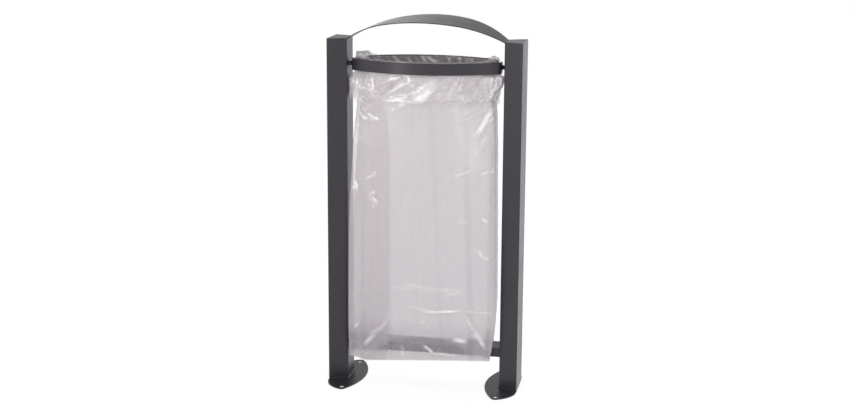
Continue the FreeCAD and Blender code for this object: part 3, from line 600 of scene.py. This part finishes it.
def lying_on_bar(x, z):
    """1 where the wall lies on the crossbar, with a soft edge, and 0 elsewhere."""
    reach = np.hypot((x - PRESSED_MIDDLE[0]) / PRESSED_REACH[0], (z - PRESSED_MIDDLE[1]) / PRESSED_REACH[1])
    return smooth(1.12, 0.8, reach) * smooth(104.0, 116.0, z)


def crumple(point, size, stretch, seed):
    """Creased film at a place, in cells of size millimetres: its height, and how near a crease."""
    place = Vector((point[0] / size + seed, point[1] / size - seed, point[2] / (size * stretch) + 2 * seed))
    near = noise.voronoi(place)[0]
    return near[0] - 0.45, max(0.0, 1 - (near[1] - near[0]) / 0.10)


def drawn_folds(x, z, slope, size, seed):
    """Long folds drawn across the film at a slope in degrees: height, and 1 along their ridges."""
    turn = math.radians(slope)
    along = x * math.cos(turn) + z * math.sin(turn)
    across = z * math.cos(turn) - x * math.sin(turn)
    wave = np.array([noise.noise(Vector((a / size, b / (size * 5.0), seed))) for a, b in zip(across, along)])
    return wave, np.clip(1 - np.abs(wave - 0.12) / 0.05, 0, 1)


def pulled_folds(x, z):
    """The folds that the ring pulls into the film: down from the left end, up to the middle and the right end."""
    left = smooth(-110.0, -165.0, x)
    right = smooth(70.0, 150.0, x)
    height = np.zeros_like(x)
    ridge = np.zeros_like(x)
    for share, slope, seed in ((left, -58.0, 3.1), (1 - left - right, 34.0, 8.4), (right, 60.0, 5.7)):
        wave, sharp = drawn_folds(x, z, slope, 24.0, seed)
        height += share * wave
        ridge += share * sharp
    return height, ridge


def layer_haze():
    """The haze of each column: less on the gussets, which cling to the walls, and least along their inner folds."""
    ways = column_ways()
    haze = np.full_like(ways, FREE_HAZE)
    for first, length in ((WALL / 2, RIGHT_GUSSET), (FILM_ROUND - WALL / 2 - LEFT_GUSSET, LEFT_GUSSET)):
        inside = smooth(first - 6, first + 6, ways) * smooth(first + length + 6, first + length - 6, ways)
        haze += inside * (CLINGING_HAZE - FREE_HAZE - 0.14 * bell(ways, first + length / 2, 16.0))
    return haze


def body_row(places, normal, layers):
    """One row of the bag's body: how far it is pushed out and crumpled, and the values for its material."""
    x, y, z = places.T
    in_front = smooth(0.25, 0.6, -normal[:, 1]) * smooth(-15, -35, y)
    at_back = smooth(0.3, 0.6, normal[:, 1]) * smooth(15, 35, y)
    end = smooth(150, 215, np.abs(x))
    free = smooth(BODY_HELD, BODY_FREE, z) * smooth(76, 96, z)
    high = smooth(850, BODY_FREE, z)
    behind = at_back * smooth(940, 1000, z) * smooth(1062, 1056, z)
    over_bar = smooth(98, 112, z)
    wall_push, wall_white = crease_push(WALL_CREASES, x, z)
    back_push, back_white = crease_push(BACK_CREASES, x, z)
    fold_push, dark = packing_folds(x, z)
    folds, _ = pulled_folds(x, z)
    standing = wall_push + fold_push * smooth(960, 880, z)
    white = np.maximum(in_front * wall_white * free, at_back * back_white)
    haze = layers + (BOTTOM_HAZE - layers) * smooth(230, 170, z) * smooth(100, 112, z) * in_front
    haze = haze + (BAR_HAZE - haze) * lying_on_bar(x, z) * (y < 0)
    # Painted shade over the crossbar and just above it, stronger towards the left.
    bar_shade = 0.42 * smooth(215, 150, z) * over_bar * (0.5 + 0.5 * smooth(-200, -236, x))
    low_left = smooth(140, 105, z) * smooth(-60, -170, x)
    crumpled = 0.25 + 1.2 * high + 2.0 * end * high + 1.2 * smooth(250, 120, z) + 0.8 * end
    return {
        "out": free * (in_front * standing + folds * 4.0 * high) - at_back * back_push,
        "rough": free * crumpled - 1.6 * behind,
        # Painted glints, with some whitening, on the crinkles' ridges: most at the back inside the ring, at the
        # ends and low down.
        "ridge_whitening_and_glint": 0.15 * high * free + 0.5 * behind + 0.25 * end * high + 0.2 * smooth(190, 110, z),
        # The upper body is painted whiter as a highlight, and the creases' whiteness is partly whitening, partly
        # highlight.
        "crease": np.maximum(white, 0.12 * smooth(600, 960, z) * smooth(1010, 990, z)),
        "crinkle": 0.02 + 0.5 * behind + 0.3 * end * high + 0.4 * low_left,
        # Painted shade along the packing folds, growing towards the bottom, and over the crossbar.
        "shade": in_front * dark * free + 0.16 * smooth(950, 250, z) + bar_shade,
        "haze": haze + (RING_HAZE - haze) * smooth(1008, 1024, z),
    }


def ring_row(places):
    """One row over the ring's top edge: clear and smooth on the ring, crumpled where the film is bunched."""
    lift = places[:, 2] - RING_TOP
    return {
        "out": np.zeros_like(lift),
        "rough": np.minimum(lift * 0.5, 6.0),
        # The bunched film is painted whiter along its crinkles as a highlight.
        "ridge_whitening_and_glint": np.minimum(lift * 0.07, 0.8),
        "crease": np.minimum(lift * 0.02, 0.3),
        "crinkle": smooth(2, 10, lift),
        "shade": np.zeros_like(lift),
        "haze": EDGE_HAZE + (FREE_HAZE - EDGE_HAZE) * smooth(2, 8, lift),
    }


def cuff_row(places, normal, hem_height):
    """One row of the cuff: loose below the strap, creased in front, and crinkled towards both ends."""
    x, y, z = places.T
    in_front = smooth(0.25, 0.6, -normal[:, 1]) * smooth(-15, -35, y)
    end = smooth(150, 215, np.abs(x))
    loose = smooth(CUFF_HELD, CUFF_FREE, z)
    hem = smooth(30, 2, z - hem_height)
    push, sharp_white = crease_push(CUFF_CREASES, x, z)
    folds, ridge = pulled_folds(x, z)
    # Painted highlight: the cuff is painted whiter in soft patches, more towards its right end and along its fold
    # ridges.
    soft = 0.27 + 0.12 * np.array([noise.noise(Vector(point) / 60.0) for point in places])
    soft = soft + 0.3 * smooth(165, 210, x)
    haze = FREE_HAZE + (HEM_HAZE - FREE_HAZE) * hem
    return {
        "out": loose * (in_front * push + folds * 5.0),
        "rough": 0.4 + loose * (0.7 + 3.2 * end * (1 - 0.7 * hem)),
        "ridge_whitening_and_glint": loose * (0.08 + 0.6 * end),
        "crease": np.maximum(in_front * sharp_white * loose, loose * (soft * (1 - 0.3 * hem) + 0.3 * ridge)),
        "crinkle": loose * (0.12 + 0.75 * end),
        "shade": np.zeros_like(x),
        "haze": haze + (RING_HAZE - haze) * (1 - loose),
    }


def shape_film(rows):
    """Adds the creases, folds and crinkles to the film's rows, and works out the values for its material."""
    shaped = rows.copy()
    values = {name: np.zeros(rows.shape[:2]) for name in ("crease", "crinkle", "shade", "haze")}
    layers = layer_haze()
    for row, places in enumerate(rows):
        normal = outward(places[:, :2])
        if row < BODY_ROWS[-1]:
            look = body_row(places, normal, layers)
        elif row < BODY_ROWS[-1] + FOLD_ROWS:
            look = ring_row(places)
        else:
            look = cuff_row(places, normal, rows[-1, :, 2])
        out, white = look["out"], look["crease"]
        for column, point in enumerate(places):
            big, _ = crumple(point, 40.0, 2.6, 1.3)
            small, sharp = crumple(point, 14.0, 1.3, 7.9)
            out[column] += look["rough"][column] * (1.3 * big + 0.9 * small)
            # Painted glints along the crinkles' ridges, in random patches, and the creases' painted white varied at
            # random.
            patch = max(0.0, noise.noise(Vector(point) / 30.0 + Vector((4.0, 1.0, 7.0))) + 0.2) * 2.0
            flicker = 0.95 + 0.3 * noise.noise(Vector(point) / 10.0)
            white[column] = min(1.0, white[column] * flicker + look["ridge_whitening_and_glint"][column] * sharp * patch)
        shaped[row, :, :2] += normal * out[:, None]
        for name in values:
            values[name][row] = look[name]
    limit = POST_FACE - POST_GAP
    shaped[:, :, 0] = np.clip(shaped[:, :, 0], -limit, limit)
    return shaped, values


def make_film():
    """The bag's film as one open tube: up inside the ring, over its top edge, and down outside as a cuff."""
    rows, values = shape_film(film_points())
    count_rows, count_columns, _ = rows.shape
    faces = []
    for row in range(count_rows - 1):
        for column in range(count_columns):
            beside = (column + 1) % count_columns
            corner = rows[row, column]
            on_cuff = row >= BODY_ROWS[-1] + 2
            at_end = abs(corner[0]) > RING_END - 4
            if on_cuff and at_end and math.hypot(corner[1], corner[2] - PIVOT_HEIGHT) < PIVOT_OPENING:
                continue
            faces.append((row * count_columns + column, row * count_columns + beside,
                          (row + 1) * count_columns + beside, (row + 1) * count_columns + column))
    mesh = bpy.data.meshes.new("film_bag")
    mesh.from_pydata([tuple(place * MM) for place in rows.reshape(-1, 3)], [], faces)
    for name, value in values.items():
        layer = mesh.attributes.new(name, "FLOAT", "POINT")
        layer.data.foreach_set("value", value.reshape(-1).astype(np.float32))
    mesh.polygons.foreach_set("use_smooth", [True] * len(mesh.polygons))
    mesh.update()
    film = bpy.data.objects.new("film_bag", mesh)
    bpy.context.scene.collection.objects.link(film)
    return film


def pick(piece, wanted):
    """Selects the corners of the piece in edit mode whose places pass the test."""
    shape = bmesh.from_edit_mesh(piece.data)
    for corner in shape.verts:
        corner.select = wanted(corner.co)
    shape.select_flush_mode()
    bmesh.update_edit_mesh(piece.data)


def foot_weld(side):
    """The fillet weld from a ground plate up to its post: a sloping seam with a welder's ripples."""
    away = -1.0 if side == "left" else 1.0
    ground = (0.0, 0.0, 0.0)
    wide = POST_WIDTH + WELD_LEG - WELD_INSET
    deep = POST_INNER_DEPTH + 2 * WELD_LEG
    bpy.ops.object.select_all(action="DESELECT")
    bpy.ops.mesh.primitive_cube_add(size=1.0, location=ground)
    weld = bpy.context.active_object
    weld.name = side + "_foot_weld"

    # A block as wide as the post and its weld, standing on the plate.
    bpy.ops.object.mode_set(mode="EDIT")
    bpy.ops.mesh.select_all(action="SELECT")
    bpy.ops.transform.translate(value=(0.0, 0.0, 0.5))
    bpy.ops.transform.resize(value=(wide * MM, deep * MM, WELD_LEG * MM), center_override=ground)
    bpy.ops.transform.translate(value=(away * (POST_FACE - WELD_LEG + wide / 2) * MM, 0.0, PLATE_TOP * MM))

    # Deeper at the post's outer face, then drawn in to the post's faces at its top.
    pick(weld, lambda place: abs(place.x) > (POST_FACE + POST_WIDTH / 2) * MM)
    bpy.ops.transform.resize(value=(1.0, (POST_OUTER_DEPTH + 2 * WELD_LEG) / deep, 1.0), center_override=ground)
    pick(weld, lambda place: place.z > (PLATE_TOP + WELD_LEG / 2) * MM)
    bpy.ops.transform.resize(value=(1.0, POST_INNER_DEPTH / deep, 1.0), center_override=ground)
    pick(weld, lambda place: place.z > (PLATE_TOP + WELD_LEG / 2) * MM and abs(place.x) < POST_FACE * MM)
    bpy.ops.transform.translate(value=(away * WELD_LEG * MM, 0.0, 0.0))
    bpy.ops.mesh.select_all(action="SELECT")
    bpy.ops.mesh.subdivide(number_cuts=WELD_CUTS)
    bpy.ops.object.mode_set(mode="OBJECT")

    ripple = bpy.data.textures.new("weld_ripple", "CLOUDS")
    ripple.noise_scale = RIPPLE_SIZE * MM
    bumps = weld.modifiers.new("ripples", "DISPLACE")
    bumps.texture = ripple
    bumps.texture_coords = "LOCAL"
    bumps.mid_level = 0.5
    bumps.strength = RIPPLE_HEIGHT * MM
    bpy.ops.object.modifier_apply(modifier=bumps.name)
    bpy.ops.object.shade_smooth_by_angle(angle=math.radians(50.0))
    return weld


def dress(objects, material):
    """Gives every material slot of the objects this material."""
    for thing in objects:
        if not thing.material_slots:
            thing.data.materials.append(material)
        for place in thing.material_slots:
            place.material = material


def add_camera():
    """The photograph's camera."""
    data = bpy.data.cameras.new("camera")
    data.sensor_fit = "HORIZONTAL"
    data.sensor_width = SENSOR_WIDTH
    data.lens = SENSOR_WIDTH * FOCAL_PIXELS / PICTURE_WIDTH
    yaw, pitch, roll = (math.radians(a) for a in (CAMERA_YAW, CAMERA_PITCH, CAMERA_ROLL))
    ahead = Vector((-math.sin(yaw) * math.cos(pitch), math.cos(yaw) * math.cos(pitch), -math.sin(pitch)))
    level = Vector((math.cos(yaw), math.sin(yaw), 0.0))
    upright = level.cross(ahead)
    right = math.cos(roll) * level + math.sin(roll) * upright
    above = math.cos(roll) * upright - math.sin(roll) * level
    turn = Matrix((right, above, -ahead)).transposed()
    camera = bpy.data.objects.new("camera", data)
    camera.matrix_world = Matrix.Translation(Vector(CAMERA_PLACE) * MM) @ turn.to_4x4()
    bpy.context.scene.collection.objects.link(camera)
    bpy.context.scene.camera = camera


def add_softbox(name, place, target, size, brightness):
    """A studio softbox at place, aimed at target, whose face has this size and brightness."""
    data = bpy.data.lights.new(name, "AREA")
    data.shape = "RECTANGLE"
    data.size, data.size_y = size
    data.energy = brightness * math.pi * size[0] * size[1]
    lamp = bpy.data.objects.new(name, data)
    lamp.location = place
    lamp.rotation_euler = (Vector(target) - Vector(place)).to_track_quat("-Z", "Y").to_euler()
    bpy.context.scene.collection.objects.link(lamp)


def seen_directly(tree):
    """1 for what the camera sees, also by reflection and through the film, and 0 for light on the object."""
    path = add_node(tree, "ShaderNodeLightPath")
    either = add_node(tree, "ShaderNodeMath", {"operation": "MAXIMUM"},
                      {0: path.outputs["Is Camera Ray"], 1: path.outputs["Is Glossy Ray"]})
    return add_node(tree, "ShaderNodeMath", {"operation": "MAXIMUM"},
                    {0: either.outputs["Value"], 1: path.outputs["Is Transmission Ray"]}).outputs["Value"]


def add_room():
    """A white background, soft even light from all round, and a pale floor that keeps a faint shadow."""
    world = bpy.data.worlds.new("studio")
    bpy.context.scene.world = world
    world.use_nodes = True
    tree = world.node_tree
    tree.nodes.clear()

    # What the coat reflects: a bright band of wall over the floor's edge, a dark stretch above it, a grey ceiling.
    soft = add_node(tree, "ShaderNodeBackground", None, {"Color": linear("#ffffff"), "Strength": 0.8})
    direction = add_node(tree, "ShaderNodeSeparateXYZ", None,
                         {"Vector": add_node(tree, "ShaderNodeTexCoord").outputs["Generated"]})
    ceiling = add_node(tree, "ShaderNodeMapRange", {"interpolation_type": "SMOOTHSTEP"},
                       {"Value": direction.outputs["Z"], "From Min": 0.04, "From Max": 0.13,
                        "To Min": 3.4, "To Max": 0.0})
    wall = add_node(tree, "ShaderNodeMapRange", None,
                    {"Value": direction.outputs["Z"], "From Min": -0.02, "From Max": 0.02,
                     "To Min": 1.0, "To Max": ceiling.outputs["Result"]})
    overhead = add_node(tree, "ShaderNodeMapRange", None,
                        {"Value": direction.outputs["Z"], "From Min": 0.27, "From Max": 0.33,
                         "To Min": 0.0, "To Max": 0.85})
    above = add_node(tree, "ShaderNodeMath", {"operation": "ADD"},
                     {0: wall.outputs["Result"], 1: overhead.outputs["Result"]})
    path = add_node(tree, "ShaderNodeLightPath")
    level = add_node(tree, "ShaderNodeMix", None,
                     {"Factor": path.outputs["Is Camera Ray"], "A": above.outputs["Value"], "B": 1.0})
    white = add_node(tree, "ShaderNodeBackground", None,
                     {"Color": linear("#ffffff"), "Strength": level.outputs["Result"]})
    both = add_node(tree, "ShaderNodeMixShader", None,
                    {0: seen_directly(tree), 1: soft.outputs[0], 2: white.outputs[0]})
    output = add_node(tree, "ShaderNodeOutputWorld")
    tree.links.new(both.outputs[0], output.inputs["Surface"])

    bpy.ops.mesh.primitive_plane_add(size=14.0, location=(0, 0, 0))
    floor = bpy.context.active_object
    floor.name = "studio_floor"
    material = bpy.data.materials.new("white_studio_floor")
    material.use_nodes = True
    tree = material.node_tree
    tree.nodes.clear()
    matt = add_node(tree, "ShaderNodeBsdfDiffuse", None, {"Color": linear("#f2f2f2")})
    glow = add_node(tree, "ShaderNodeEmission", None, {"Color": linear("#ffffff"), "Strength": 1.08})
    share = add_node(tree, "ShaderNodeMath", {"operation": "MULTIPLY"}, {0: seen_directly(tree), 1: 0.8})
    both = add_node(tree, "ShaderNodeMixShader", None,
                    {0: share.outputs["Value"], 1: matt.outputs[0], 2: glow.outputs[0]})
    output = add_node(tree, "ShaderNodeOutputMaterial")
    tree.links.new(both.outputs[0], output.inputs["Surface"])
    floor.data.materials.append(material)


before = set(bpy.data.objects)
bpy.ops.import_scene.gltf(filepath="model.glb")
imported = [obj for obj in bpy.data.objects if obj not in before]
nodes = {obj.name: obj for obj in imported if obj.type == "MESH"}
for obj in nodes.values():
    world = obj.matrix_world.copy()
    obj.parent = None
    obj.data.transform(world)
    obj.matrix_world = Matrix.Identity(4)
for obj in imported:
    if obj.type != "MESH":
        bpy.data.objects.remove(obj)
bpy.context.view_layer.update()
bpy.ops.object.select_all(action="DESELECT")

add_camera()
add_room()
add_softbox("top_softbox", (0.3, 1.2, 3.6), (0, 0, 0.9), (2.6, 1.6), 2.4)
add_softbox("left_softbox", (-2.2, -3.4, 1.5), (0, 0, 0.8), (0.9, 1.6), 7.5)
add_softbox("right_softbox", (3.4, -2.4, 1.5), (0, 0, 0.6), (0.8, 1.2), 3.0)

coat = powder_coat()
hardware = ("bolt", "washer", "bush", "spacer", "insert")
dress([thing for name, thing in nodes.items() if name != "bin_bag" and not name.endswith(hardware)], coat)
dress([nodes[side + part] for side in ("left", "right") for part in ("_pivot_bolt", "_bolt_washer")],
      black_oxide())
dress([nodes[side + part] for side in ("left", "right") for part in ("_ring_bush", "_pivot_spacer")],
      black_nylon())
dress([nodes[side + "_threaded_insert"] for side in ("left", "right")], zinc_plate())

for side in ("left", "right"):
    weld = foot_weld(side)
    dress([weld], coat)
    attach(weld, "frame")

film = make_film()
film_finish = clear_film()
film.data.materials.append(film_finish)
nodes["bin_bag"].data.materials.clear()
nodes["bin_bag"].data.materials.append(film_finish)
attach(film, "frame")
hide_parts("bin_bag")

bpy.context.scene.view_settings.view_transform = "Standard"
